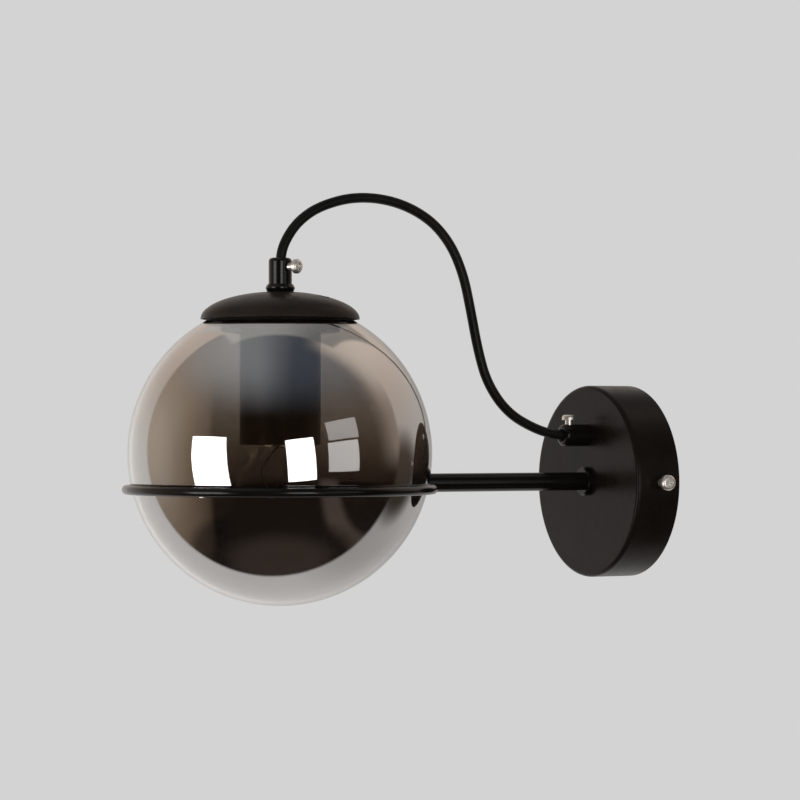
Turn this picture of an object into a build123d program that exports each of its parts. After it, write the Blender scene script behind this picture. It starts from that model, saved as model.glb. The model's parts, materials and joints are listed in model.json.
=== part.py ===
from build123d import *

import os
from math import asin, cos, degrees, pi, radians, sin, sqrt, tan

# Globe wall lamp.  A blown glass globe rests in a steel ring at the end of a short arm, and a
# domed cap with the lampholder sits over the globe's mouth.  A cord loops from the cap back to
# the wall canopy.
#
# Frame, in millimetres: the wall is the plane Y = 0 and the lamp stands out towards -Y.
# +X is to the right as seen from the room and +Z is up.  The arm's axis passes through the
# origin, which is the centre of the canopy's back on the wall.

os.makedirs("parts", exist_ok=True)

# ---------------------------------------------------------------- driving dimensions

# Wall canopy: a pressed steel cup
canopy_radius = 50.0
canopy_depth = 25.0
canopy_wall = 1.5
canopy_edge = 2.0

# Bracket on the wall: a strip with two bent tabs and an ear for the terminal block
bracket_thickness = 2.0
bracket_width = 16.0
bracket_gap = 1.0
tab_height = 17.0
tab_corner = 4.0
wall_slot_spacing = 56.0
wall_slot_length = 22.0
wall_slot_width = 5.0
cable_hole_radius = 5.0
ear_width = 20.0
ear_drop = 36.0
earth_screw_across = 12.5
earth_washer_radius = 3.5
earth_washer_thickness = 0.8

# Side screws that hold the canopy on the bracket's tabs
side_screw_out = 11.0
side_screw_proud = 5.0
side_screw_length = 12.0
side_head_radius = 4.0
side_head_height = 3.0
side_hole_radius = 2.6

# Screws and threads
m4_radius = 2.0
m3_radius = 1.5
m3_head_radius = 2.75
m3_head_height = 1.8
m10_radius = 5.0
m10_nut_flats = 14.0
m10_nut_height = 3.5
thread_gap = 0.05
hole_gap = 0.2
recess_width = 0.9
recess_share = 0.45
head_round_share = 0.55

# Arm: a tube in a turned boss, with the globe ring welded across its end
arm_radius = 4.75
arm_wall = 1.2
boss_radius = 7.5
boss_height = 3.0
boss_socket = 2.0
boss_stud = 9.0
boss_bore_radius = 3.0
boss_chamfer = 0.8
washer_radius = 9.0
washer_thickness = 1.0
arm_cap_thickness = 2.0
ring_over_globe = 0.5
ring_rod_radius = 2.25

# Glass globe
globe_reach = 202.0
globe_radius = 75.0
globe_wall = 2.0
globe_seat_gap = 0.3
mouth_polish = 0.4

# Cap over the globe's mouth
gasket_thickness = 1.0
gasket_clearance = 1.75
plate_thickness = 0.8
plate_flange_clearance = 2.25
dish_depth = 7.0
dish_gap = 1.0
sleeve_height = 17.4
sleeve_flats = 14.0
cap_radius = 39.25
cap_overhang = 4.25
cap_height = 13.6
cap_wall = 1.0
cap_land_radius = 8.5
cap_screw_off_middle = 5.825
cap_screw_turn = 38.5
cap_screw_length = 16.0
cap_screw_head_height = 1.2
cap_pocket_gap = 0.35
cap_pocket_depth = 0.5
collar_height = 4.0
collar_recess = 2.0
collar_radius = 7.25
collar_foot_radius = 6.4
collar_waist = 2.4
collar_band = 0.6
collar_lip = 0.5

# Cord and the two cord grips
cord_radius = 2.5
grip_radius = 5.75
grip_length = 15.0
grip_edge = 1.8
grip_bore_gap = 0.25
grip_spigot = 9.0
grip_screw_below_tip = 4.5
grip_screw_length = 5.5
grip_head_radius = 3.6
grip_head_height = 2.6
canopy_grip_height = 24.0
cap_grip_screw_turn = 30.0
cap_grip_screw_slack = 0.9
cord_in_grip = 7.0
core_radius = 1.1
core_spread = 1.25
core_bend = 2.4
core_straight = 1.6
core_joggle_height = 4.0
jacket_past_nipple = 1.5
jacket_past_spigot = 3.0
bend_share = 0.45

# Lampholder inside its cup
nipple_length = 21.5
nipple_in_sleeve = 8.0
nipple_bore_radius = 3.5
cup_radius = 20.0
cup_height = 56.0
cup_wall = 1.0
cup_edge = 1.5
holder_top_gap = 0.3
holder_neck_radius = 8.5
holder_neck_height = 5.0
holder_radius = 16.5
holder_wall = 2.2
holder_shoulder = 6.0
holder_shoulder_step = 1.0
holder_cap_height = 21.0
holder_core_height = 8.0
holder_flange_thickness = 1.0
holder_skirt_wall = 1.9
holder_skirt_height = 28.0
shell_radius = 13.85
shell_wall = 0.4
shell_height = 24.0
shell_window_radius = 6.5
tongue_width = 5.0
tongue_thickness = 0.5
tongue_drop = 3.2
tongue_inset = 1.0
tongue_root = 2.0
tongue_knee = 1.0
tongue_tip = 3.0
tongue_lean = 0.3
terminal_across = 9.5
lead_hole_out = 5.0
terminal_head_radius = 2.6
terminal_head_height = 2.0

# Globe-shaped bulb with a screw cap
bulb_contact_gap = 0.1
bulb_contact_radius = 4.0
bulb_contact_height = 1.2
bulb_insulator_radius = 9.0
bulb_insulator_height = 2.5
bulb_insulator_land = 0.5
bulb_thread_radius = 13.1
bulb_thread_depth = 0.9
bulb_thread_pitch = 3.63
bulb_thread_turns = 4
bulb_cap_shoulder = 1.6
bulb_cap_skirt = 4.0
bulb_cap_flare = 1.0
bulb_cap_wall = 0.4
bulb_ball_radius = 22.5
bulb_neck_radius = 11.4
bulb_neck_fillet = 15.0
bulb_glass_wall = 0.8
bulb_length = 70.0
bulb_neck_in_cap = 12.0
stem_flare_radius = 10.3
stem_rod_radius = 1.8
stem_length = 26.0
stem_flare_height = 9.0
stem_flare_wall = 1.0
stem_taper = 3.0
filament_radius = 0.35
filament_span = 9.0
filament_drop = 10.0
filament_bend = 0.8
lead_in_straight = 4.0

# Terminal block on the bracket's ear
block_length = 20.0
block_width = 16.0
block_height = 12.0
block_top = -16.0
block_edge = 1.0
block_way_spacing = 10.0
block_way_radius = 1.7
block_way_depth = 7.0
block_well_radius = 2.0
block_well_depth = 4.0
block_screw_inset = 4.0
block_screw_height = 2.4
block_fixing_sink = 3.0

# ---------------------------------------------------------------- places worked out from them

ring_radius = globe_radius + ring_over_globe
ring_height = ring_rod_radius - arm_radius
globe_seat = globe_radius + ring_rod_radius + globe_seat_gap
globe_height = ring_height + sqrt(globe_seat**2 - ring_radius**2)
mouth_radius = cap_radius - cap_overhang
mouth_height = globe_height + sqrt(globe_radius**2 - mouth_radius**2)
mouth_inner_radius = sqrt((globe_radius - globe_wall) ** 2 - (mouth_height - globe_height) ** 2)

gasket_radius = cap_radius - cap_wall - gasket_clearance
plate_flange_radius = cap_radius - cap_wall - plate_flange_clearance
flange_height = mouth_height + gasket_thickness
dish_radius = mouth_inner_radius - dish_gap
dish_floor = flange_height - dish_depth
cap_screw_middle = (cup_radius + cap_radius) / 2
cap_screw_circle = cap_screw_middle - cap_screw_off_middle
sleeve_foot = dish_floor + plate_thickness
cap_top = sleeve_foot + sleeve_height + cap_wall
cap_rim = cap_top - cap_height * sqrt(1 - (cap_land_radius / cap_radius) ** 2)
cap_grip_base = cap_top + collar_height - collar_recess
cap_grip_tip = cap_grip_base + grip_length
grip_bore_radius = cord_radius + grip_bore_gap

cup_top = dish_floor
cup_foot = cup_top - cup_height
cup_nut_top = cup_top - cup_wall
holder_top = cup_nut_top - m10_nut_height - holder_top_gap
holder_cap_foot = holder_top - holder_cap_height
core_top = holder_cap_foot + holder_core_height / 2
core_foot = core_top - holder_core_height
shell_top = core_foot
contact_height = shell_top - tongue_drop - bulb_contact_gap
bulb_cap_top = contact_height - bulb_contact_height - bulb_insulator_height
thread_top = bulb_cap_top - bulb_cap_shoulder
thread_foot = thread_top - bulb_thread_turns * bulb_thread_pitch
bulb_cap_foot = thread_foot - bulb_cap_skirt
bulb_bottom = contact_height - bulb_length
ball_height = bulb_bottom + bulb_ball_radius

canopy_face = -canopy_depth
canopy_grip_tip = canopy_face - grip_length

lamp_axis = Axis((0, -globe_reach, 0), (0, 0, 1))
lamp_section = Plane(origin=(0, -globe_reach, 0), x_dir=(1, 0, 0), z_dir=(0, -1, 0))


def at_lamp(height, x_dir=(1, 0, 0)):
    """Level plane on the lamp's upright axis."""
    return Plane(origin=(0, -globe_reach, height), x_dir=x_dir, z_dir=(0, 0, 1))


def from_wall(distance, height=0.0, across=0.0):
    """Plane at a distance from the wall, facing the room, with its own Y axis up."""
    return Plane(origin=(across, -distance, height), x_dir=(1, 0, 0), z_dir=(0, -1, 0))


def turned(angle):
    """Level direction at an angle from +X towards the wall."""
    return (cos(radians(angle)), sin(radians(angle)), 0)


# ---------------------------------------------------------------- shapes used more than once


def seat_axis(seat):
    """Axis that runs out of a plane."""
    return Axis(seat.origin, seat.z_dir)


def pan_head_screw(seat, head_radius, head_height, shank_radius, length):
    """Screw with its head's underside on the seat plane and its shank behind that plane."""
    with BuildPart(seat) as screw:
        Cylinder(head_radius, head_height, align=(Align.CENTER, Align.CENTER, Align.MIN))
        head_rim = screw.edges().filter_by(GeomType.CIRCLE).sort_by(seat_axis(seat))[-1]
        fillet(head_rim, head_height * head_round_share)
        Cylinder(shank_radius, length, align=(Align.CENTER, Align.CENTER, Align.MAX))
        with Locations((0, 0, head_height)):
            Box(head_radius, recess_width, 2 * recess_share * head_height, mode=Mode.SUBTRACT)
            Box(recess_width, head_radius, 2 * recess_share * head_height, mode=Mode.SUBTRACT)
    return screw.part


def hex_nut(seat, flats, height, bore_radius):
    """Hexagonal nut or sleeve that stands on the seat plane."""
    with BuildPart() as nut:
        with BuildSketch(seat):
            RegularPolygon(flats / 2, 6, major_radius=False)
            Circle(bore_radius, mode=Mode.SUBTRACT)
        extrude(amount=height)
    return nut.part


def cord_grip(base):
    """Cord grip that stands on the base plane, with its clamp screw on that plane's X side."""
    with BuildPart(base) as grip:
        Cylinder(grip_radius, grip_length, align=(Align.CENTER, Align.CENTER, Align.MIN))
        tip_rim = grip.edges().filter_by(GeomType.CIRCLE).sort_by(seat_axis(base))[-1]
        fillet(tip_rim, grip_edge)
        Cylinder(m10_radius, grip_spigot, align=(Align.CENTER, Align.CENTER, Align.MAX))
        with Locations((0, 0, -grip_spigot)):
            Cylinder(
                grip_bore_radius,
                grip_spigot + grip_length,
                align=(Align.CENTER, Align.CENTER, Align.MIN),
                mode=Mode.SUBTRACT,
            )
        mouth = grip.edges().filter_by(GeomType.CIRCLE).sort_by(seat_axis(base))[-1]
        chamfer(mouth, grip_edge / 2)
        with Locations((0, 0, grip_length - grip_screw_below_tip)):
            Cylinder(
                m4_radius + thread_gap,
                2 * grip_radius,
                rotation=(0, 90, 0),
                align=(Align.CENTER, Align.CENTER, Align.MIN),
                mode=Mode.SUBTRACT,
            )
    return grip.part


def flat_topped_dome(radius, height, rim, top):
    """Solid of revolution about the lamp's axis: an elliptical dome with a small flat top."""
    with BuildPart() as dome:
        with BuildSketch(lamp_section):
            with Locations((0, rim)):
                Ellipse(radius, height)
            with Locations((radius / 2, (rim + top) / 2)):
                Rectangle(radius, top - rim, mode=Mode.INTERSECT)
        revolve(axis=lamp_axis)
    return dome.part


def lamp_turning(points):
    """Solid of revolution about the lamp's axis from a profile of (radius, height) points."""
    with BuildPart() as turning:
        with BuildSketch(lamp_section):
            with BuildLine():
                Polyline(*points, close=True)
            make_face()
        revolve(axis=lamp_axis)
    return turning.part


def round_wire(points, wire_radius, bend_radii):
    """Round wire along straight runs joined by tangent arcs."""
    with BuildPart() as wire:
        with BuildLine() as route:
            FilletPolyline(*points, radius=bend_radii)
        with BuildSketch(Plane(origin=route.line @ 0, z_dir=route.line % 0)):
            Circle(wire_radius)
        sweep()
    return wire.part


# ---------------------------------------------------------------- wall side: bracket and canopy

tab_outer = sqrt((canopy_radius - canopy_wall) ** 2 - (bracket_width / 2) ** 2) - bracket_gap
tab_seat = from_wall(side_screw_out)

with BuildPart() as wall_bracket:
    with BuildSketch(from_wall(0)):
        Rectangle(2 * tab_outer, bracket_width)
        with Locations((0, -ear_drop / 2)):
            Rectangle(ear_width, ear_drop)
        with GridLocations(wall_slot_spacing, 0, 2, 1):
            SlotOverall(wall_slot_length, wall_slot_width, mode=Mode.SUBTRACT)
        Circle(cable_hole_radius, mode=Mode.SUBTRACT)
        with Locations((-earth_screw_across, 0), (0, block_top - block_width / 2)):
            Circle(m3_radius + thread_gap, mode=Mode.SUBTRACT)
    extrude(amount=bracket_thickness)
    with BuildSketch(from_wall(0)):
        with GridLocations(2 * tab_outer - bracket_thickness, 0, 2, 1):
            Rectangle(bracket_thickness, bracket_width)
    extrude(amount=tab_height)
    back_edges = wall_bracket.edges().filter_by(Axis.Z).group_by(Axis.Y)[-1].sort_by(Axis.X)
    fillet([back_edges[0], back_edges[-1]], bracket_thickness)
    fillet(wall_bracket.edges().filter_by(Axis.X).group_by(Axis.Y)[0], tab_corner)
    with Locations(Location((0, -side_screw_out, 0), (0, 90, 0))):
        Cylinder(m4_radius + thread_gap, 2 * canopy_radius, mode=Mode.SUBTRACT)
wall_bracket.part.label = "wall_bracket"
export_step(wall_bracket.part, "parts/wall_bracket.step")

with BuildPart() as earth_washer:
    with BuildSketch(from_wall(bracket_thickness, across=-earth_screw_across)):
        Circle(earth_washer_radius)
        Circle(m3_radius + hole_gap, mode=Mode.SUBTRACT)
    extrude(amount=earth_washer_thickness)
earth_washer.part.label = "earth_washer"
export_step(earth_washer.part, "parts/earth_washer.step")

with BuildPart() as earth_screw:
    add(
        pan_head_screw(
            from_wall(bracket_thickness + earth_washer_thickness, across=-earth_screw_across),
            m3_head_radius,
            m3_head_height,
            m3_radius,
            bracket_thickness + earth_washer_thickness,
        )
    )
earth_screw.part.label = "earth_screw"
export_step(earth_screw.part, "parts/earth_screw.step")

with BuildPart() as canopy:
    with BuildSketch(from_wall(0)):
        Circle(canopy_radius)
    extrude(amount=canopy_depth)
    fillet(canopy.edges().group_by(Axis.Y)[0], canopy_edge)
    with BuildSketch(from_wall(0)):
        Circle(canopy_radius - canopy_wall)
    extrude(amount=canopy_depth - canopy_wall, mode=Mode.SUBTRACT)
    with BuildSketch(from_wall(canopy_depth - canopy_wall)):
        with Locations((0, 0), (0, canopy_grip_height)):
            Circle(m10_radius + hole_gap)
    extrude(amount=canopy_wall, mode=Mode.SUBTRACT)
    with Locations(Location((0, -side_screw_out, 0), (0, 90, 0))):
        Cylinder(side_hole_radius, 2 * (canopy_radius + hole_gap), mode=Mode.SUBTRACT)
canopy.part.label = "canopy"
export_step(canopy.part, "parts/canopy.step")

for side, name in ((1, "right"), (-1, "left")):
    screw_seat = Plane(
        origin=(side * (canopy_radius + side_screw_proud), -side_screw_out, 0),
        x_dir=(0, 1, 0),
        z_dir=(side, 0, 0),
    )
    with BuildPart() as canopy_side_screw:
        add(pan_head_screw(screw_seat, side_head_radius, side_head_height, m4_radius, side_screw_length))
    canopy_side_screw.part.label = f"canopy_side_screw_{name}"
    export_step(canopy_side_screw.part, f"parts/canopy_side_screw_{name}.step")

# ---------------------------------------------------------------- arm and ring

with BuildPart() as support_ring:
    with Locations(at_lamp(ring_height)):
        Torus(ring_radius, ring_rod_radius)
support_ring.part.label = "support_ring"
export_step(support_ring.part, "parts/support_ring.step")

with BuildPart() as arm_boss:
    with BuildSketch(from_wall(canopy_depth)):
        Circle(boss_radius)
    extrude(amount=boss_height)
    chamfer(arm_boss.edges().group_by(Axis.Y)[0], boss_chamfer)
    with BuildSketch(from_wall(canopy_depth)):
        Circle(m10_radius)
    extrude(amount=-boss_stud)
    with BuildSketch(from_wall(canopy_depth - boss_stud)):
        Circle(boss_bore_radius)
    extrude(amount=boss_stud + boss_height, mode=Mode.SUBTRACT)
    with BuildSketch(from_wall(canopy_depth + boss_height)):
        Circle(arm_radius)
    extrude(amount=-boss_socket, mode=Mode.SUBTRACT)
arm_boss.part.label = "arm_boss"
export_step(arm_boss.part, "parts/arm_boss.step")

arm_root = canopy_depth + boss_height - boss_socket
arm_end = globe_reach - ring_radius

with BuildPart() as arm_tube:
    with BuildSketch(from_wall(arm_root)):
        Circle(arm_radius)
        Circle(arm_radius - arm_wall, mode=Mode.SUBTRACT)
    extrude(amount=arm_end - arm_root)
    add(support_ring.part, mode=Mode.SUBTRACT)
arm_tube.part.label = "arm_tube"
export_step(arm_tube.part, "parts/arm_tube.step")

with BuildPart() as arm_end_cap:
    with BuildSketch(from_wall(arm_end)):
        Circle(arm_radius - arm_wall)
    extrude(amount=-(arm_cap_thickness + ring_rod_radius))
    add(support_ring.part, mode=Mode.SUBTRACT)
arm_end_cap.part.label = "arm_end_cap"
export_step(arm_end_cap.part, "parts/arm_end_cap.step")

inside_face = canopy_depth - canopy_wall

with BuildPart() as arm_lock_washer:
    with BuildSketch(from_wall(inside_face)):
        Circle(washer_radius)
        Circle(m10_radius + hole_gap, mode=Mode.SUBTRACT)
    extrude(amount=-washer_thickness)
arm_lock_washer.part.label = "arm_lock_washer"
export_step(arm_lock_washer.part, "parts/arm_lock_washer.step")

with BuildPart() as arm_lock_nut:
    nut_seat = from_wall(inside_face - washer_thickness - m10_nut_height)
    add(hex_nut(nut_seat, m10_nut_flats, m10_nut_height, m10_radius + thread_gap))
arm_lock_nut.part.label = "arm_lock_nut"
export_step(arm_lock_nut.part, "parts/arm_lock_nut.step")

# ---------------------------------------------------------------- canopy end of the cord

grip_screw_reach = cord_radius + thread_gap + grip_screw_length
grip_screw_out = grip_length - grip_screw_below_tip

with BuildPart() as canopy_cord_grip:
    grip_base = Plane(origin=(0, canopy_face, canopy_grip_height), x_dir=(0, 0, 1), z_dir=(0, -1, 0))
    add(cord_grip(grip_base))
canopy_cord_grip.part.label = "canopy_cord_grip"
export_step(canopy_cord_grip.part, "parts/canopy_cord_grip.step")

with BuildPart() as canopy_grip_nut:
    nut_seat = from_wall(inside_face - m10_nut_height, canopy_grip_height)
    add(hex_nut(nut_seat, m10_nut_flats, m10_nut_height, m10_radius + thread_gap))
canopy_grip_nut.part.label = "canopy_grip_nut"
export_step(canopy_grip_nut.part, "parts/canopy_grip_nut.step")

canopy_grip_screw_seat = Plane(
    origin=(0, canopy_face - grip_screw_out, canopy_grip_height + grip_screw_reach),
    x_dir=(1, 0, 0),
    z_dir=(0, 0, 1),
)
with BuildPart() as canopy_grip_screw:
    add(
        pan_head_screw(
            canopy_grip_screw_seat, grip_head_radius, grip_head_height, m4_radius, grip_screw_length
        )
    )
canopy_grip_screw.part.label = "canopy_grip_screw"
export_step(canopy_grip_screw.part, "parts/canopy_grip_screw.step")

# ---------------------------------------------------------------- globe

with BuildPart() as globe_glass:
    with Locations(at_lamp(globe_height)):
        Sphere(globe_radius)
        Sphere(globe_radius - globe_wall, mode=Mode.SUBTRACT)
    split(bisect_by=at_lamp(mouth_height), keep=Keep.BOTTOM)
    rim_edges = globe_glass.edges().filter_by(GeomType.CIRCLE).group_by(Axis.Z)[-1]
    fillet(rim_edges, mouth_polish)
globe_glass.part.label = "globe_glass"
export_step(globe_glass.part, "parts/globe_glass.step")

# ---------------------------------------------------------------- cap over the mouth

with BuildPart() as mouth_gasket:
    with BuildSketch(at_lamp(mouth_height)):
        Circle(gasket_radius)
        Circle(dish_radius + dish_gap / 2, mode=Mode.SUBTRACT)
    extrude(amount=gasket_thickness)
mouth_gasket.part.label = "mouth_gasket"
export_step(mouth_gasket.part, "parts/mouth_gasket.step")

with BuildPart() as locating_plate:
    add(
        lamp_turning(
            [
                (m10_radius + hole_gap, dish_floor),
                (dish_radius, dish_floor),
                (dish_radius, flange_height),
                (plate_flange_radius, flange_height),
                (plate_flange_radius, flange_height + plate_thickness),
                (dish_radius - plate_thickness, flange_height + plate_thickness),
                (dish_radius - plate_thickness, sleeve_foot),
                (m10_radius + hole_gap, sleeve_foot),
            ]
        )
    )
    with BuildSketch(at_lamp(dish_floor)):
        with PolarLocations(cap_screw_circle, 2, start_angle=cap_screw_turn):
            Circle(m3_radius + thread_gap)
    extrude(amount=plate_thickness, mode=Mode.SUBTRACT)
locating_plate.part.label = "locating_plate"
export_step(locating_plate.part, "parts/locating_plate.step")

with BuildPart() as coupling_sleeve:
    add(hex_nut(at_lamp(sleeve_foot), sleeve_flats, sleeve_height, m10_radius + thread_gap))
coupling_sleeve.part.label = "coupling_sleeve"
export_step(coupling_sleeve.part, "parts/coupling_sleeve.step")

# Each screw's head lies in a pocket pressed into the dome, whose floor is the screw's level seat
cap_pocket_radius = m3_head_radius + cap_pocket_gap
cap_pocket_outer = cap_screw_circle + cap_pocket_radius
cap_screw_seat = cap_rim + cap_height * sqrt(1 - (cap_pocket_outer / cap_radius) ** 2) - cap_pocket_depth

with BuildPart() as pocket_walls:
    with BuildSketch(at_lamp(cap_screw_seat - cap_wall)):
        with PolarLocations(cap_screw_circle, 2, start_angle=cap_screw_turn):
            Circle(cap_pocket_radius + cap_wall)
    extrude(amount=cap_height)
    add(flat_topped_dome(cap_radius, cap_height, cap_rim, cap_top), mode=Mode.INTERSECT)

with BuildPart() as cap_dome:
    add(flat_topped_dome(cap_radius, cap_height, cap_rim, cap_top))
    add(
        flat_topped_dome(cap_radius - cap_wall, cap_height - cap_wall, cap_rim, cap_top - cap_wall),
        mode=Mode.SUBTRACT,
    )
    add(pocket_walls.part)
    with BuildSketch(at_lamp(cap_screw_seat)):
        with PolarLocations(cap_screw_circle, 2, start_angle=cap_screw_turn):
            Circle(cap_pocket_radius)
    extrude(amount=cap_height, mode=Mode.SUBTRACT)
    with BuildSketch(at_lamp(cap_rim)):
        Circle(m10_radius + hole_gap)
        with PolarLocations(cap_screw_circle, 2, start_angle=cap_screw_turn):
            Circle(m3_radius + hole_gap)
    extrude(amount=cap_height, mode=Mode.SUBTRACT)
cap_dome.part.label = "cap_dome"
export_step(cap_dome.part, "parts/cap_dome.step")

with BuildPart() as cap_screws:
    for turn in (cap_screw_turn, cap_screw_turn + 180):
        across, along = (cap_screw_circle * value for value in turned(turn)[:2])
        seat = Plane(origin=(across, along - globe_reach, cap_screw_seat), z_dir=(0, 0, 1))
        add(pan_head_screw(seat, m3_head_radius, cap_screw_head_height, m3_radius, cap_screw_length))
cap_screws.part.label = "cap_screws"
export_step(cap_screws.part, "parts/cap_screws.step")

with BuildPart() as cap_collar:
    add(
        lamp_turning(
            [
                (m10_radius + hole_gap, cap_top),
                (collar_foot_radius, cap_top),
                (collar_radius, cap_top + collar_waist - collar_band),
                (collar_radius, cap_top + collar_waist),
                (grip_radius + collar_lip, cap_top + collar_height),
                (grip_radius + thread_gap, cap_top + collar_height),
                (grip_radius + thread_gap, cap_grip_base),
                (m10_radius + hole_gap, cap_grip_base),
            ]
        )
    )
cap_collar.part.label = "cap_collar"
export_step(cap_collar.part, "parts/cap_collar.step")

with BuildPart() as cap_cord_grip:
    add(cord_grip(at_lamp(cap_grip_base, x_dir=turned(cap_grip_screw_turn))))
cap_cord_grip.part.label = "cap_cord_grip"
export_step(cap_cord_grip.part, "parts/cap_cord_grip.step")

cap_grip_screw_reach = grip_screw_reach + cap_grip_screw_slack
cap_grip_screw_across, cap_grip_screw_along = (
    cap_grip_screw_reach * value for value in turned(cap_grip_screw_turn)[:2]
)
with BuildPart() as cap_grip_screw:
    seat = Plane(
        origin=(
            cap_grip_screw_across,
            cap_grip_screw_along - globe_reach,
            cap_grip_base + grip_screw_out,
        ),
        x_dir=(0, 0, 1),
        z_dir=turned(cap_grip_screw_turn),
    )
    add(pan_head_screw(seat, grip_head_radius, grip_head_height, m4_radius, grip_screw_length))
cap_grip_screw.part.label = "cap_grip_screw"
export_step(cap_grip_screw.part, "parts/cap_grip_screw.step")

# ---------------------------------------------------------------- lampholder

with BuildPart() as lamp_nipple:
    with BuildSketch(at_lamp(sleeve_foot + nipple_in_sleeve)):
        Circle(m10_radius)
        Circle(nipple_bore_radius, mode=Mode.SUBTRACT)
    extrude(amount=-nipple_length)
lamp_nipple.part.label = "lamp_nipple"
export_step(lamp_nipple.part, "parts/lamp_nipple.step")

with BuildPart() as lampholder_cup:
    with BuildSketch(at_lamp(cup_top)):
        Circle(cup_radius)
    extrude(amount=-cup_height)
    fillet(lampholder_cup.edges().filter_by(GeomType.CIRCLE).group_by(Axis.Z)[-1], cup_edge)
    with BuildSketch(at_lamp(cup_foot)):
        Circle(cup_radius - cup_wall)
    extrude(amount=cup_height - cup_wall, mode=Mode.SUBTRACT)
    with BuildSketch(at_lamp(cup_top)):
        Circle(m10_radius + hole_gap)
    extrude(amount=-cup_wall, mode=Mode.SUBTRACT)
lampholder_cup.part.label = "lampholder_cup"
export_step(lampholder_cup.part, "parts/lampholder_cup.step")

with BuildPart() as cup_nut:
    nut_seat = at_lamp(cup_nut_top - m10_nut_height)
    add(hex_nut(nut_seat, m10_nut_flats, m10_nut_height, m10_radius + thread_gap))
cup_nut.part.label = "cup_nut"
export_step(cup_nut.part, "parts/cup_nut.step")

shoulder_top = holder_top - holder_neck_height
shoulder_foot = shoulder_top - holder_shoulder
nipple_foot = sleeve_foot + nipple_in_sleeve - nipple_length
with BuildPart() as holder_cap:
    add(
        lamp_turning(
            [
                (m10_radius + thread_gap, holder_top),
                (holder_neck_radius, holder_top),
                (holder_neck_radius, shoulder_top),
                (holder_radius, shoulder_foot),
                (holder_radius, holder_cap_foot),
                (holder_radius - holder_wall, holder_cap_foot),
                (holder_radius - holder_wall, shoulder_foot - holder_shoulder_step),
                (holder_neck_radius, nipple_foot),
                (m10_radius + thread_gap, nipple_foot),
            ]
        )
    )
holder_cap.part.label = "holder_cap"
export_step(holder_cap.part, "parts/holder_cap.step")

holder_core_radius = holder_radius - holder_wall - hole_gap
holder_flange_radius = holder_radius - holder_skirt_wall / 2
with BuildPart() as holder_core:
    with BuildSketch(at_lamp(core_foot)):
        Circle(holder_core_radius)
    extrude(amount=holder_core_height)
    with BuildSketch(at_lamp(holder_cap_foot)):
        Circle(holder_flange_radius)
    extrude(amount=-holder_flange_thickness)
    with BuildSketch(at_lamp(core_foot)):
        with GridLocations(0, 2 * lead_hole_out, 1, 2):
            Circle(core_radius + hole_gap)
        with GridLocations(2 * terminal_across, 0, 2, 1):
            Circle(m3_radius + thread_gap)
    extrude(amount=holder_core_height, mode=Mode.SUBTRACT)
holder_core.part.label = "holder_core"
export_step(holder_core.part, "parts/holder_core.step")

with BuildPart() as holder_terminal_screws:
    for side in (1, -1):
        seat = Plane(origin=(side * terminal_across, -globe_reach, core_top), z_dir=(0, 0, 1))
        add(
            pan_head_screw(
                seat, terminal_head_radius, terminal_head_height, m3_radius, holder_core_height / 2
            )
        )
holder_terminal_screws.part.label = "holder_terminal_screws"
export_step(holder_terminal_screws.part, "parts/holder_terminal_screws.step")

with BuildPart() as holder_skirt:
    with BuildSketch(at_lamp(holder_cap_foot)):
        Circle(holder_radius)
        Circle(holder_radius - holder_skirt_wall, mode=Mode.SUBTRACT)
    extrude(amount=-holder_skirt_height)
    with BuildSketch(at_lamp(holder_cap_foot)):
        Circle(holder_flange_radius + hole_gap)
    extrude(amount=-holder_flange_thickness, mode=Mode.SUBTRACT)
holder_skirt.part.label = "holder_skirt"
export_step(holder_skirt.part, "parts/holder_skirt.step")

with BuildPart() as screw_shell:
    with BuildSketch(at_lamp(shell_top)):
        Circle(shell_radius)
    extrude(amount=-shell_height)
    with BuildSketch(at_lamp(shell_top - shell_wall)):
        Circle(shell_radius - shell_wall)
    extrude(amount=-(shell_height - shell_wall), mode=Mode.SUBTRACT)
    with BuildSketch(at_lamp(shell_top)):
        Circle(shell_window_radius)
    extrude(amount=-shell_wall, mode=Mode.SUBTRACT)
screw_shell.part.label = "screw_shell"
export_step(screw_shell.part, "parts/screw_shell.step")

tongue_rest = shell_top - tongue_drop
tongue_start = tongue_inset - shell_window_radius
tongue_bend = tongue_start + tongue_root
with BuildPart() as centre_contact:
    with BuildSketch(lamp_section):
        with BuildLine():
            Polyline(
                (tongue_start, shell_top),
                (tongue_bend, shell_top),
                (-tongue_knee, tongue_rest + tongue_thickness),
                (tongue_tip, tongue_rest + tongue_thickness),
                (tongue_tip, tongue_rest),
                (-tongue_knee - tongue_lean, tongue_rest),
                (tongue_bend - tongue_lean, shell_top - tongue_thickness),
                (tongue_start, shell_top - tongue_thickness),
                close=True,
            )
        make_face()
    extrude(amount=tongue_width / 2, both=True)
centre_contact.part.label = "centre_contact"
export_step(centre_contact.part, "parts/centre_contact.step")

# ---------------------------------------------------------------- bulb

with BuildPart() as bulb_contact:
    with BuildSketch(at_lamp(contact_height)):
        Circle(bulb_contact_radius)
    extrude(amount=-bulb_contact_height)
    fillet(bulb_contact.edges().group_by(Axis.Z)[-1], bulb_contact_height / 2)
bulb_contact.part.label = "bulb_contact"
export_step(bulb_contact.part, "parts/bulb_contact.step")

with BuildPart() as bulb_insulator:
    add(
        lamp_turning(
            [
                (0, contact_height - bulb_contact_height),
                (bulb_contact_radius + bulb_insulator_land, contact_height - bulb_contact_height),
                (bulb_insulator_radius, bulb_cap_top),
                (0, bulb_cap_top),
            ]
        )
    )
bulb_insulator.part.label = "bulb_insulator"
export_step(bulb_insulator.part, "parts/bulb_insulator.step")

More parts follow.
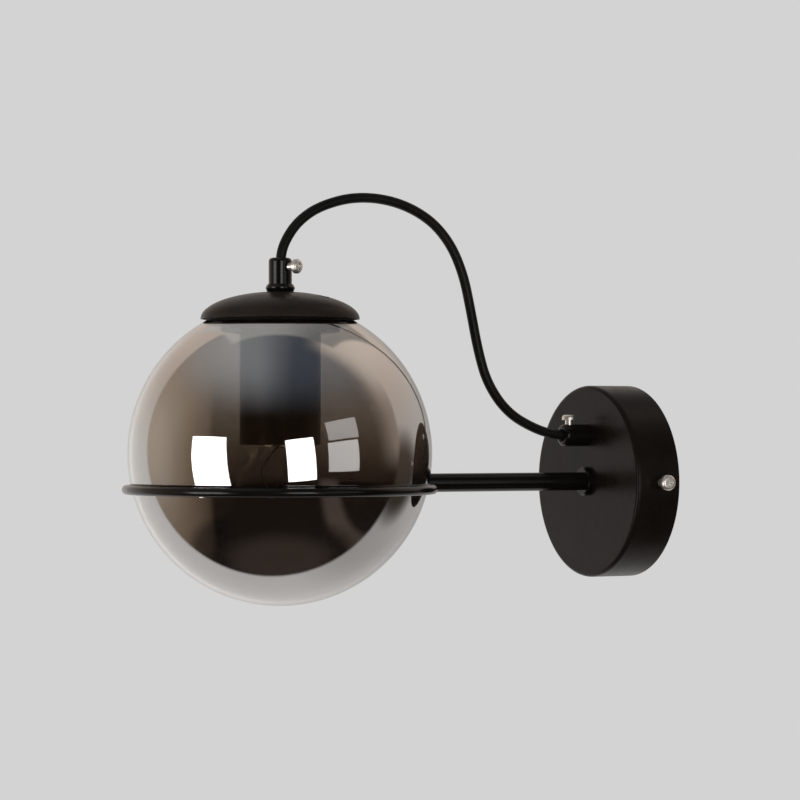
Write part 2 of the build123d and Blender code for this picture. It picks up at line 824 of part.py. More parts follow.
bulb_root_radius = bulb_thread_radius - bulb_thread_depth
with BuildPart() as bulb_cap:
    with BuildSketch(lamp_section):
        with BuildLine():
            outline = Polyline(
                (0, bulb_cap_top),
                (bulb_insulator_radius, bulb_cap_top),
                (bulb_root_radius, thread_top),
            )
            for turn in range(bulb_thread_turns):
                crest_top = thread_top - turn * bulb_thread_pitch
                ThreePointArc(
                    (bulb_root_radius, crest_top),
                    (bulb_thread_radius, crest_top - bulb_thread_pitch / 2),
                    (bulb_root_radius, crest_top - bulb_thread_pitch),
                )
            Polyline(
                (bulb_root_radius, thread_foot),
                (bulb_root_radius + bulb_thread_depth / 2, thread_foot - bulb_cap_flare),
                (bulb_root_radius + bulb_thread_depth / 2, bulb_cap_foot),
                (0, bulb_cap_foot),
                (0, bulb_cap_top),
            )
        make_face()
    revolve(axis=lamp_axis)
    with BuildSketch(at_lamp(bulb_cap_foot)):
        Circle(bulb_root_radius - bulb_cap_wall / 2)
    extrude(amount=thread_foot - bulb_cap_foot, mode=Mode.SUBTRACT)
    with BuildSketch(at_lamp(thread_foot)):
        Circle(bulb_root_radius - bulb_cap_wall)
    extrude(amount=bulb_thread_turns * bulb_thread_pitch, mode=Mode.SUBTRACT)
bulb_cap.part.label = "bulb_cap"
export_step(bulb_cap.part, "parts/bulb_cap.step")


def bulb_form(skin):
    """Solid bulb envelope, drawn in by a skin thickness: neck, hollow fillet and ball."""
    neck = bulb_neck_radius - skin
    ball = bulb_ball_radius - skin
    bend = bulb_neck_fillet + skin
    join_sine = (neck + bend) / (ball + bend)
    join_angle = asin(join_sine)
    bend_height = ball_height + (ball + bend) * cos(join_angle)
    with BuildPart() as form:
        with BuildSketch(lamp_section):
            with BuildLine():
                Line((0, bulb_cap_foot + bulb_neck_in_cap), (neck, bulb_cap_foot + bulb_neck_in_cap))
                side = Line((neck, bulb_cap_foot + bulb_neck_in_cap), (neck, bend_height))
                hollow = JernArc(side @ 1, (0, -1), bend, 90 - degrees(join_angle))
                belly = JernArc(hollow @ 1, hollow % 1, ball, degrees(join_angle) - 180)
                Line(belly @ 1, (0, bulb_cap_foot + bulb_neck_in_cap))
            make_face()
        revolve(axis=lamp_axis)
    return form.part


with BuildPart() as bulb_glass:
    add(bulb_form(0))
    add(bulb_form(bulb_glass_wall), mode=Mode.SUBTRACT)
    with BuildSketch(at_lamp(bulb_cap_foot + bulb_neck_in_cap)):
        Circle(bulb_neck_radius - bulb_glass_wall)
    extrude(amount=-bulb_glass_wall * 2, mode=Mode.SUBTRACT)
bulb_glass.part.label = "bulb_glass"
export_step(bulb_glass.part, "parts/bulb_glass.step")

stem_top = bulb_cap_foot + bulb_neck_in_cap - bulb_glass_wall
stem_foot = stem_top - stem_length
with BuildPart() as bulb_stem:
    add(
        lamp_turning(
            [
                (0, stem_top - stem_flare_wall),
                (stem_flare_radius - stem_flare_wall, stem_top),
                (stem_flare_radius, stem_top),
                (stem_rod_radius * 2, stem_top - stem_flare_height),
                (stem_rod_radius, stem_top - stem_flare_height - stem_taper),
                (stem_rod_radius, stem_foot),
                (0, stem_foot),
            ]
        )
    )
bulb_stem.part.label = "bulb_stem"
export_step(bulb_stem.part, "parts/bulb_stem.step")

# The filament hangs as a W below the stem, between two lead-in wires that leave the stem's sides
filament_top = stem_foot - 2 * filament_radius
filament_start = Vector(0, -filament_span, filament_top)
filament_low_point = Vector(0, -filament_span / 2, filament_top - filament_drop)
filament_slope = (filament_low_point - filament_start).normalized()
lead_in_knee = filament_start - filament_slope * lead_in_straight
lead_in_root = Vector(0, 0, stem_top - stem_flare_height)


def lamp_points(points, side):
    """Points given from the lamp's axis, on one side of it, moved to the lamp's place."""
    return [(point.X, side * point.Y - globe_reach, point.Z) for point in points]


with BuildPart() as bulb_filament:
    peaks = [filament_start, filament_low_point, Vector(0, 0, filament_top)]
    near_half = lamp_points(peaks, 1)
    far_half = lamp_points(peaks[:2], -1)
    add(round_wire(near_half + far_half[::-1], filament_radius, filament_bend))
bulb_filament.part.label = "bulb_filament"
export_step(bulb_filament.part, "parts/bulb_filament.step")

with BuildPart() as bulb_lead_in_wires:
    for side in (1, -1):
        wire_points = lamp_points([lead_in_root, lead_in_knee, filament_start], side)
        add(round_wire(wire_points, filament_radius, filament_bend))
    add(bulb_stem.part, mode=Mode.SUBTRACT)
bulb_lead_in_wires.part.label = "bulb_lead_in_wires"
export_step(bulb_lead_in_wires.part, "parts/bulb_lead_in_wires.step")

# ---------------------------------------------------------------- terminal block on the ear

block_middle = block_top - block_width / 2
block_back = bracket_thickness
block_front = block_back + block_height
way_distance = block_back + block_height / 2
fixing_seat = block_front - block_fixing_sink
well_floor = block_front - block_well_depth

with BuildPart() as terminal_block:
    with BuildSketch(from_wall(block_back, block_middle)):
        Rectangle(block_length, block_width)
    extrude(amount=block_height)
    fillet(terminal_block.edges().filter_by(Axis.Y), block_edge)
    with BuildSketch(from_wall(block_front, block_middle)):
        with GridLocations(block_way_spacing, block_width - 2 * block_screw_inset, 2, 2):
            Circle(block_well_radius)
    extrude(amount=-block_well_depth, mode=Mode.SUBTRACT)
    with BuildSketch(from_wall(well_floor, block_middle)):
        with GridLocations(block_way_spacing, block_width - 2 * block_screw_inset, 2, 2):
            Circle(m3_radius + thread_gap)
    extrude(amount=way_distance - well_floor, mode=Mode.SUBTRACT)
    for end, inward in ((block_top, -1), (block_top - block_width, 1)):
        with BuildSketch(Plane(origin=(0, -way_distance, end), z_dir=(0, 0, 1))):
            with GridLocations(block_way_spacing, 0, 2, 1):
                Circle(block_way_radius)
        extrude(amount=inward * block_way_depth, mode=Mode.SUBTRACT)
    with BuildSketch(from_wall(block_front, block_middle)):
        Circle(m3_head_radius + hole_gap)
    extrude(amount=-block_fixing_sink, mode=Mode.SUBTRACT)
    with BuildSketch(from_wall(block_back, block_middle)):
        Circle(m3_radius + hole_gap)
    extrude(amount=block_height, mode=Mode.SUBTRACT)
terminal_block.part.label = "terminal_block"
export_step(terminal_block.part, "parts/terminal_block.step")

with BuildPart() as terminal_block_screw:
    add(
        pan_head_screw(
            from_wall(fixing_seat, block_middle),
            m3_head_radius,
            m3_head_height,
            m3_radius,
            fixing_seat,
        )
    )
terminal_block_screw.part.label = "terminal_block_screw"
export_step(terminal_block_screw.part, "parts/terminal_block_screw.step")

with BuildPart() as block_wire_screws:
    for across in (-block_way_spacing / 2, block_way_spacing / 2):
        for rise in (block_width / 2 - block_screw_inset, block_screw_inset - block_width / 2):
            add(
                pan_head_screw(
                    from_wall(well_floor, block_middle + rise, across),
                    block_well_radius - hole_gap / 2,
                    block_screw_height,
                    m3_radius,
                    well_floor - way_distance - core_radius,
                )
            )
block_wire_screws.part.label = "block_wire_screws"
export_step(block_wire_screws.part, "parts/block_wire_screws.step")

# ---------------------------------------------------------------- cord

# The cord's route is chosen by hand.  Its rising half is given from the cap grip's tip, as
# (towards the wall, up), and its falling half from the canopy grip's tip, as (out, up)
cord_from_cap = [
    (0.0, -cord_in_grip),
    (0.0, 0.9),
    (3.0, 9.3),
    (10.0, 18.7),
    (22.0, 26.6),
    (42.0, 32.1),
    (64.3, 30.6),
    (83.5, 22.6),
    (96.0, 10.1),
]
cord_to_canopy = [
    (58.5, 82.0),
    (54.5, 65.0),
    (50.0, 43.5),
    (44.5, 26.5),
    (32.5, 11.5),
    (15.5, 3.0),
    (2.5, 0.0),
    (-cord_in_grip, 0.0),
]
cord_route = [Vector(0, inward - globe_reach, cap_grip_tip + rise) for inward, rise in cord_from_cap]
cord_route += [Vector(0, canopy_grip_tip - out, canopy_grip_height + rise) for out, rise in cord_to_canopy]
cord_bends = []
for before, corner, after in zip(cord_route, cord_route[1:], cord_route[2:]):
    shorter_run = min((corner - before).length, (after - corner).length)
    half_turn = radians((corner - before).get_angle(after - corner)) / 2
    cord_bends.append(bend_share * shorter_run / tan(half_turn))
print("cord bend radii", [round(bend, 1) for bend in cord_bends])

with BuildPart() as supply_cord:
    with BuildLine() as cord_line:
        FilletPolyline(*cord_route, radius=cord_bends)
    with BuildSketch(Plane(origin=cord_line.line @ 0, z_dir=cord_line.line % 0)):
        Circle(cord_radius)
    sweep()
cord_length = cord_line.wire().length
print("cord length", round(cord_length, 1))
print("cord volume", supply_cord.part.volume, "from its length", cord_length * pi * cord_radius**2)
supply_cord.part.label = "supply_cord"
export_step(supply_cord.part, "parts/supply_cord.step")

# Inside the grips and the lamp the cord runs straight on, to where its jacket is stripped
cord_start_height = cap_grip_tip - cord_in_grip
cord_end_distance = -canopy_grip_tip - cord_in_grip
jacket_foot = nipple_foot - jacket_past_nipple
jacket_end = canopy_depth - grip_spigot - jacket_past_spigot

with BuildPart() as cap_cord_tail:
    with BuildSketch(at_lamp(cord_start_height)):
        Circle(cord_radius)
    extrude(amount=jacket_foot - cord_start_height)
cap_cord_tail.part.label = "cap_cord_tail"
export_step(cap_cord_tail.part, "parts/cap_cord_tail.step")

with BuildPart() as canopy_cord_tail:
    with BuildSketch(from_wall(cord_end_distance, canopy_grip_height)):
        Circle(cord_radius)
    extrude(amount=jacket_end - cord_end_distance)
canopy_cord_tail.part.label = "canopy_cord_tail"
export_step(canopy_cord_tail.part, "parts/canopy_cord_tail.step")

# The two cores: live on the right, neutral on the left
for side, core in ((1, "live"), (-1, "neutral")):
    lamp_points_of_core = [
        (0, side * core_spread - globe_reach, jacket_foot),
        (0, side * core_spread - globe_reach, jacket_foot - core_straight),
        (0, side * lead_hole_out - globe_reach, core_top + core_straight),
        (0, side * lead_hole_out - globe_reach, core_foot + holder_core_height / 2),
    ]
    with BuildPart() as lamp_lead:
        add(round_wire(lamp_points_of_core, core_radius, core_bend))
    lamp_lead.part.label = f"lamp_{core}_lead"
    export_step(lamp_lead.part, f"parts/lamp_{core}_lead.step")

    canopy_points_of_core = [
        (side * core_spread, -jacket_end, canopy_grip_height),
        (side * core_spread, -way_distance, canopy_grip_height),
        (side * block_way_spacing / 2, -way_distance, core_joggle_height),
        (side * block_way_spacing / 2, -way_distance, block_top - block_way_depth + hole_gap),
    ]
    with BuildPart() as canopy_lead:
        add(round_wire(canopy_points_of_core, core_radius, core_bend))
    canopy_lead.part.label = f"canopy_{core}_lead"
    export_step(canopy_lead.part, f"parts/canopy_{core}_lead.step")
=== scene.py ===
import json
from math import asin, cos, pi, radians, sin, tau

import bmesh
import bpy
from mathutils import Matrix, Vector


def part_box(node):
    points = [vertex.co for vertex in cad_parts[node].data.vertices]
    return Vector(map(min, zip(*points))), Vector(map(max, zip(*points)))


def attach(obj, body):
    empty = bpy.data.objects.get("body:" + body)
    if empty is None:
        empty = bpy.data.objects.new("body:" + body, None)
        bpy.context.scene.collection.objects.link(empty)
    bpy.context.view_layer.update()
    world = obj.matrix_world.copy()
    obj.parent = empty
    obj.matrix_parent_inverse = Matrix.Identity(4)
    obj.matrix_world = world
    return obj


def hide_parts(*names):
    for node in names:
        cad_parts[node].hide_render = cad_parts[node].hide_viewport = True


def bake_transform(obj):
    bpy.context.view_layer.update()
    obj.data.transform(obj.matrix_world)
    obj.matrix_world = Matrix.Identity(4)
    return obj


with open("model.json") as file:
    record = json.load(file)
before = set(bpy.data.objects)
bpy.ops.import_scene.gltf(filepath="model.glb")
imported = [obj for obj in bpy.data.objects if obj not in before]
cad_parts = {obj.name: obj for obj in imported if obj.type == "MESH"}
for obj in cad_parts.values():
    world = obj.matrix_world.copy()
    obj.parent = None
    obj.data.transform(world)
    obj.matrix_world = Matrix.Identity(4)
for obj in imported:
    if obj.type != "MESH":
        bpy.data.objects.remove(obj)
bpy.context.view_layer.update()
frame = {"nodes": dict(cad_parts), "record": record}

# Globe wall lamp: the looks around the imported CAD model.  Metres, in the CAD's frame: the wall is
# Y = 0, the lamp stands out towards -Y, +X is right as seen from the room and +Z is up.

MM = 0.001

# ---------------------------------------------------------------- camera at the photograph's angle

camera_turn = radians(62.16)
camera_rise = radians(-0.63)
camera_distance = 1.4
camera_focal_px = 2743.0
picture_px = 800.0
sensor_mm = 36.0
camera_aim_right = -0.0311
camera_aim_up = 0.0421
camera_pivot = Vector((0.0, -0.1, 0.0))

view_back = Vector(
    (sin(camera_turn) * cos(camera_rise), -cos(camera_turn) * cos(camera_rise), sin(camera_rise))
)
view_right = Vector((cos(camera_turn), sin(camera_turn), 0.0))
view_up = view_back.cross(view_right)
level_back = Vector((view_back.x, view_back.y, 0))


def make_camera():
    """Camera whose frame is the photograph's."""
    data = bpy.data.cameras.new("camera")
    data.sensor_fit = "HORIZONTAL"
    data.sensor_width = sensor_mm
    data.lens = camera_focal_px / picture_px * sensor_mm
    camera = bpy.data.objects.new("camera", data)
    bpy.context.scene.collection.objects.link(camera)
    aim = camera_pivot + view_right * camera_aim_right + view_up * camera_aim_up
    turn = Matrix((view_right, view_up, view_back)).transposed().to_4x4()
    camera.matrix_world = Matrix.Translation(aim + view_back * camera_distance) @ turn
    bpy.context.scene.camera = camera


make_camera()

# ---------------------------------------------------------------- places taken from the CAD model

globe_low, globe_high = (Vector(corner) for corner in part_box("globe_glass"))
globe_radius = (globe_high.x - globe_low.x) / 2
globe_wall = 2.0 * MM
mouth_polish = 0.4 * MM
globe_centre = Vector((0.0, (globe_low.y + globe_high.y) / 2, globe_low.z + globe_radius))
globe_rim = globe_high.z
lamp_y = globe_centre.y

# ---------------------------------------------------------------- small helpers for mesh pieces


def add_object(name, data, body):
    """Object at the origin that rides on a body."""
    piece = bpy.data.objects.new(name, data)
    bpy.context.scene.collection.objects.link(piece)
    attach(piece, body)
    return piece


def mesh_from(name, vertices, faces):
    """Smooth-shaded mesh."""
    mesh = bpy.data.meshes.new(name)
    mesh.from_pydata(vertices, [], faces)
    mesh.validate()
    mesh.polygons.foreach_set("use_smooth", [True] * len(mesh.polygons))
    mesh.update()
    return mesh


# ---------------------------------------------------------------- small helpers for materials

# Noise mostly stays between these two values
noise_low, noise_high = 0.3, 0.7


class Paint:
    """A material with a Principled shader, and short ways to add nodes to it."""

    def __init__(self, name):
        self.material = bpy.data.materials.new(name)
        self.material.use_nodes = True
        self.nodes = self.material.node_tree.nodes
        self.links = self.material.node_tree.links
        self.shader = self.nodes["Principled BSDF"]
        self.output = self.nodes["Material Output"]
        self.place = self.nodes.new("ShaderNodeTexCoord").outputs["Object"]

    def set(self, **values):
        """Set uniform values on the shader's own sockets."""
        for name, value in values.items():
            self.shader.inputs[name.replace("_", " ")].default_value = value
        return self

    def link(self, source, target):
        self.links.new(source, target)

    def noise(self, size, detail=2.0, roughness=0.5, stretch=(1, 1, 1)):
        """Noise whose blotches are about size metres across, stretched along the axes."""
        mapping = self.nodes.new("ShaderNodeMapping")
        mapping.inputs["Scale"].default_value = [1 / factor for factor in stretch]
        self.link(self.place, mapping.inputs["Vector"])
        noise = self.nodes.new("ShaderNodeTexNoise")
        noise.inputs["Scale"].default_value = 1 / size
        noise.inputs["Detail"].default_value = detail
        noise.inputs["Roughness"].default_value = roughness
        self.link(mapping.outputs["Vector"], noise.inputs["Vector"])
        return noise.outputs["Fac"]

    def ramp(self, factor, *stops):
        """Colour ramp through (position, colour) stops."""
        ramp = self.nodes.new("ShaderNodeValToRGB")
        elements = ramp.color_ramp.elements
        for element, (position, colour) in zip(elements, (stops[0], stops[-1])):
            element.position = position
            element.color = (*colour, 1)
        for position, colour in stops[1:-1]:
            elements.new(position).color = (*colour, 1)
        self.link(factor, ramp.inputs["Fac"])
        return ramp.outputs["Color"]

    def spread(self, factor, low, high, source_low=noise_low, source_high=noise_high):
        """Number that runs from low to high as the factor runs over its usual span."""
        spread = self.nodes.new("ShaderNodeMapRange")
        spread.inputs["From Min"].default_value = source_low
        spread.inputs["From Max"].default_value = source_high
        spread.inputs["To Min"].default_value = low
        spread.inputs["To Max"].default_value = high
        self.link(factor, spread.inputs["Value"])
        return spread.outputs["Result"]

    def bump(self, height, distance, strength):
        bump = self.nodes.new("ShaderNodeBump")
        bump.inputs["Distance"].default_value = distance
        bump.inputs["Strength"].default_value = strength
        self.link(height, bump.inputs["Height"])
        self.link(bump.outputs["Normal"], self.shader.inputs["Normal"])

    def math(self, operation, first, second=0.0):
        node = self.nodes.new("ShaderNodeMath")
        node.operation = operation
        for socket, value in zip(node.inputs, (first, second)):
            if isinstance(value, (int, float)):
                socket.default_value = value
            else:
                self.link(value, socket)
        return node.outputs["Value"]

    def colour(self, socket):
        self.link(socket, self.shader.inputs["Base Color"])

    def rough(self, socket):
        self.link(socket, self.shader.inputs["Roughness"])

    def mottle(self, size, detail, dark, light, roughness=0.5):
        """Base colour that drifts between dark and light in blotches of about size metres."""
        blotches = self.noise(size, detail, roughness)
        self.colour(self.ramp(blotches, (noise_low, dark), (noise_high, light)))


def powder_coat(name, gloss, dark, light):
    """Satin black powder coat with a fine orange peel."""
    paint = Paint(name).set(Specular_IOR_Level=gloss)
    paint.mottle(25 * MM, 3, dark, light)
    paint.rough(paint.spread(paint.noise(6 * MM, 3), 0.26, 0.34))
    peel = paint.noise(0.9 * MM, 2, 0.45)
    grain = paint.noise(0.25 * MM, 1)
    both = paint.math("ADD", peel, paint.math("MULTIPLY", grain, 0.35))
    paint.bump(both, 0.03 * MM, 0.7)
    return paint.material


def gloss_enamel():
    """Glossy black enamel, slightly wavy, with faint rub marks."""
    paint = Paint("gloss_black_enamel").set(Specular_IOR_Level=0.24)
    paint.mottle(20 * MM, 3, (0.003, 0.0025, 0.0022), (0.0055, 0.0046, 0.004))
    paint.rough(paint.spread(paint.noise(4 * MM, 5, 0.6, (1, 1, 4)), 0.12, 0.22))
    paint.bump(paint.noise(2.5 * MM, 2), 0.03 * MM, 0.5)
    return paint.material


def nickel():
    """Bright nickel plate on the screws that show."""
    paint = Paint("nickel_plate").set(Metallic=1.0)
    paint.mottle(3 * MM, 3, (0.78, 0.72, 0.66), (0.88, 0.84, 0.79))
    paint.rough(paint.spread(paint.noise(0.8 * MM, 4), 0.34, 0.5))
    paint.bump(paint.noise(0.35 * MM, 2, 0.6), 0.02 * MM, 0.5)
    return paint.material


def zinc():
    """Zinc plate, brushed one way."""
    paint = Paint("zinc_plate").set(Metallic=1.0)
    paint.mottle(8 * MM, 4, (0.5, 0.5, 0.47), (0.66, 0.66, 0.64))
    paint.rough(paint.spread(paint.noise(2 * MM, 4), 0.3, 0.5))
    paint.bump(paint.noise(0.3 * MM, 3, 0.6, (6, 1, 1)), 0.02 * MM, 0.4)
    return paint.material


def brass():
    """Bare brass, a little dull."""
    paint = Paint("bare_brass").set(Metallic=1.0)
    paint.mottle(4 * MM, 4, (0.62, 0.43, 0.18), (0.78, 0.58, 0.28))
    paint.rough(paint.spread(paint.noise(1.5 * MM, 4), 0.2, 0.4))
    return paint.material


def bright_shell():
    """Thin bright metal of the lampholder's and the bulb's shells."""
    paint = Paint("bright_shell_metal").set(Metallic=1.0)
    paint.mottle(5 * MM, 3, (0.68, 0.66, 0.6), (0.78, 0.77, 0.73))
    paint.rough(paint.spread(paint.noise(1 * MM, 4), 0.18, 0.32))
    return paint.material


def phenolic():
    """Moulded black phenolic."""
    paint = Paint("black_phenolic").set(IOR=1.55)
    paint.mottle(4 * MM, 5, (0.012, 0.011, 0.01), (0.024, 0.021, 0.019), 0.65)
    paint.rough(paint.spread(paint.noise(3 * MM, 4), 0.3, 0.45))
    paint.bump(paint.noise(0.6 * MM, 3), 0.02 * MM, 0.5)
    return paint.material


def rubber():
    """Matt black rubber."""
    paint = Paint("black_rubber")
    paint.mottle(3 * MM, 4, (0.012, 0.012, 0.012), (0.02, 0.02, 0.02))
    paint.rough(paint.spread(paint.noise(1 * MM, 4), 0.6, 0.8))
    paint.bump(paint.noise(0.2 * MM, 3), 0.02 * MM, 0.5)
    return paint.material


def white_nylon():
    """Off-white nylon of the terminal block."""
    paint = Paint("white_nylon")
    paint.mottle(6 * MM, 3, (0.7, 0.68, 0.62), (0.76, 0.75, 0.71))
    paint.rough(paint.spread(paint.noise(2 * MM, 4), 0.4, 0.55))
    paint.bump(paint.noise(0.4 * MM, 2), 0.015 * MM, 0.4)
    return paint.material


def sheath(name, dark, light):
    """Smooth PVC over a cord or a core, with the faint waviness of its strands."""
    paint = Paint(name).set(IOR=1.53, Specular_IOR_Level=0.1)
    paint.mottle(9 * MM, 3, dark, light)
    paint.rough(paint.spread(paint.noise(3 * MM, 4), 0.26, 0.4))
    waves = paint.noise(3.5 * MM, 2)
    grain = paint.noise(0.3 * MM, 2)
    paint.bump(paint.math("ADD", waves, paint.math("MULTIPLY", grain, 0.1)), 0.08 * MM, 0.5)
    return paint.material


def tungsten():
    """Dull wire inside the bulb."""
    paint = Paint("dull_wire").set(Metallic=1.0)
    paint.mottle(2 * MM, 2, (0.3, 0.29, 0.28), (0.42, 0.41, 0.4))
    paint.rough(paint.spread(paint.noise(0.5 * MM, 2), 0.3, 0.45))
    return paint.material


def lets_lamps_through(paint, tint):
    """Shadow rays pass the glass with a tint, so that lamps reach what is inside."""
    path = paint.nodes.new("ShaderNodeLightPath")
    clear = paint.nodes.new("ShaderNodeBsdfTransparent")
    clear.inputs["Color"].default_value = (*tint, 1)
    mix = paint.nodes.new("ShaderNodeMixShader")
    paint.link(path.outputs["Is Shadow Ray"], mix.inputs["Fac"])
    paint.link(paint.shader.outputs["BSDF"], mix.inputs[1])
    paint.link(clear.outputs["BSDF"], mix.inputs[2])
    paint.link(mix.outputs["Shader"], paint.output.inputs["Surface"])
    return paint.material


# The half-mirror coat's tone, and the least and greatest share of the light it mirrors
mirror_tone = (0.76, 0.745, 0.73)
mirror_share = (0.43, 0.47)


def smoked_glass():
    """Smoked glass with a half-mirror coat outside and a tint that deepens towards the bottom."""
    paint = Paint("smoked_half_mirror_glass").set(IOR=1.5)
    paint.shader.inputs["Transmission Weight"].default_value = 1.0
    paint.rough(paint.spread(paint.noise(22 * MM, 5, 0.65), 0.006, 0.03, 0.35, 0.8))
    offset = paint.nodes.new("ShaderNodeVectorMath")
    offset.operation = "SUBTRACT"
    offset.inputs[1].default_value = globe_centre
    paint.link(paint.place, offset.inputs[0])
    length = paint.nodes.new("ShaderNodeVectorMath")
    length.operation = "LENGTH"
    paint.link(offset.outputs["Vector"], length.inputs[0])
    outside = paint.math("GREATER_THAN", length.outputs["Value"], globe_radius - globe_wall / 2)
    split = paint.nodes.new("ShaderNodeSeparateXYZ")
    paint.link(offset.outputs["Vector"], split.inputs["Vector"])
    height = paint.spread(split.outputs["Z"], 0.0, 1.0, -globe_radius, globe_radius)
    # How much light of each colour passes, from the globe's foot (0) to its top (1)
    smoke = paint.ramp(
        height,
        (0.0, (0.008, 0.005, 0.004)),
        (0.33, (0.012, 0.008, 0.006)),
        (0.387, (0.035, 0.024, 0.018)),
        (0.453, (0.12, 0.085, 0.06)),
        (0.516, (0.21, 0.155, 0.11)),
        (0.58, (0.385, 0.31, 0.245)),
        (0.647, (0.545, 0.455, 0.38)),
        (0.707, (0.61, 0.53, 0.45)),
        (0.773, (0.75, 0.67, 0.6)),
        (0.85, (0.95, 0.87, 0.8)),
    )
    mix = paint.nodes.new("ShaderNodeMix")
    mix.data_type = "RGBA"
    paint.link(outside, mix.inputs["Factor"])
    paint.link(smoke, mix.inputs["A"])
    mix.inputs["B"].default_value = (*mirror_tone, 1)
    for socket in mix.outputs:
        if socket.type == "RGBA":
            paint.colour(socket)
    coat = paint.spread(paint.noise(60 * MM, 2), *mirror_share)
    paint.link(paint.math("MULTIPLY", outside, coat), paint.shader.inputs["Metallic"])
    paint.bump(paint.noise(14 * MM, 1), 0.05 * MM, 0.2)
    return lets_lamps_through(paint, (0.42, 0.38, 0.34))


def bulb_glass():
    """Clear glass of the bulb."""
    paint = Paint("clear_bulb_glass").set(Roughness=0.01, IOR=1.5)
    paint.shader.inputs["Transmission Weight"].default_value = 1.0
    paint.mottle(12 * MM, 1, (0.93, 0.93, 0.92), (0.97, 0.97, 0.96))
    return lets_lamps_through(paint, (0.9, 0.9, 0.88))


def vitrite():
    """Black glass under the bulb's contact."""
    paint = Paint("black_vitrite").set(IOR=1.6)
    paint.mottle(2 * MM, 3, (0.008, 0.008, 0.012), (0.016, 0.016, 0.022))
    paint.rough(paint.spread(paint.noise(1 * MM, 3), 0.08, 0.2))
    return paint.material


finishes = {
    "black_enamel": powder_coat(
        "black_powder_coat", 0.11, (0.0055, 0.0034, 0.0023), (0.0085, 0.0056, 0.004)
    ),
    "gloss_black_enamel": gloss_enamel(),
    "zinc_steel": zinc(),
    "nickel_screws": nickel(),
    "black_screws": phenolic(),
    "brass": brass(),
    "black_phenolic": phenolic(),
    "shell_metal": bright_shell(),
    "smoked_mirror_glass": smoked_glass(),
    "clear_glass": bulb_glass(),
    "black_vitrite": vitrite(),
    "filament_wire": tungsten(),
    "black_rubber": rubber(),
    "white_plastic": white_nylon(),
    "black_pvc": sheath("black_pvc_sheath", (0.005, 0.0046, 0.0044), (0.009, 0.0084, 0.008)),
    "brown_pvc": sheath("brown_core", (0.13, 0.05, 0.025), (0.18, 0.075, 0.04)),
    "blue_pvc": sheath("blue_core", (0.02, 0.09, 0.36), (0.04, 0.14, 0.46)),
}

# The cap's dome gets a lighter and duller copy of its finish's black coat than the other black pieces;
# the lighter colour is painted light
dome_painted_light_coat = powder_coat("black_dome_coat", 0.05, (0.016, 0.0118, 0.0088), (0.022, 0.0165, 0.0128))
slot_of = {part["node"]: part["material_slot"] for part in frame["record"]["subparts"]}

for node, piece in frame["nodes"].items():
    piece.data.materials.clear()
    piece.data.materials.append(dome_painted_light_coat if node == "cap_dome" else finishes[slot_of[node]])

# ---------------------------------------------------------------- cord

# The route's points, the same as the CAD model's: the rising half from the cap grip's tip as
# (towards the wall, up), and the falling half from the canopy grip's tip as (out, up), in mm
cord_in_grip = 7.0
cord_diameter = 5.0 * MM
cord_from_cap = [
    (0.0, -cord_in_grip),
    (0.0, 0.9),
    (3.0, 9.3),
    (10.0, 18.7),
    (22.0, 26.6),
    (42.0, 32.1),
    (64.3, 30.6),
    (83.5, 22.6),
    (96.0, 10.1),
]
cord_to_canopy = [
    (58.5, 82.0),
    (54.5, 65.0),
    (50.0, 43.5),
    (44.5, 26.5),
    (32.5, 11.5),
    (15.5, 3.0),
    (2.5, 0.0),
    (-cord_in_grip, 0.0),
]
cap_grip_tip = Vector((0.0, lamp_y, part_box("cap_cord_grip")[1][2]))
canopy_grip_low, canopy_grip_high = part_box("canopy_cord_grip")
canopy_grip_tip = Vector((0.0, canopy_grip_low[1], (canopy_grip_low[2] + canopy_grip_high[2]) / 2))


def make_cord():
    """Cord along its route, in place of the CAD model's cord."""
    points = [cap_grip_tip + Vector((0, inward, rise)) * MM for inward, rise in cord_from_cap]
    points += [canopy_grip_tip + Vector((0, -out, rise)) * MM for out, rise in cord_to_canopy]
    curve = bpy.data.curves.new("cord_route", "CURVE")
    curve.dimensions = "3D"
    curve.resolution_u = 16
    spline = curve.splines.new("NURBS")
    spline.points.add(len(points) - 1)
    for control, point in zip(spline.points, points):
        control.co = (*point, 1)
    spline.order_u = 3
    spline.use_endpoint_u = True
    route = bpy.data.objects.new("cord_route", curve)
    line = bpy.data.meshes.new_from_object(route)
    curve.bevel_depth = cord_diameter / 2
    curve.bevel_resolution = 10
    curve.use_fill_caps = True
    mesh = bpy.data.meshes.new_from_object(route)
    mesh.name = "cord"
    bpy.data.objects.remove(route)
    mesh.polygons.foreach_set("use_smooth", [True] * len(mesh.polygons))
    mesh.materials.clear()
    mesh.materials.append(finishes["black_pvc"])
    cord = bpy.data.objects.new("cord", mesh)
    bpy.context.scene.collection.objects.link(cord)
    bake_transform(cord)
    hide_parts("supply_cord")


make_cord()

# ---------------------------------------------------------------- globe


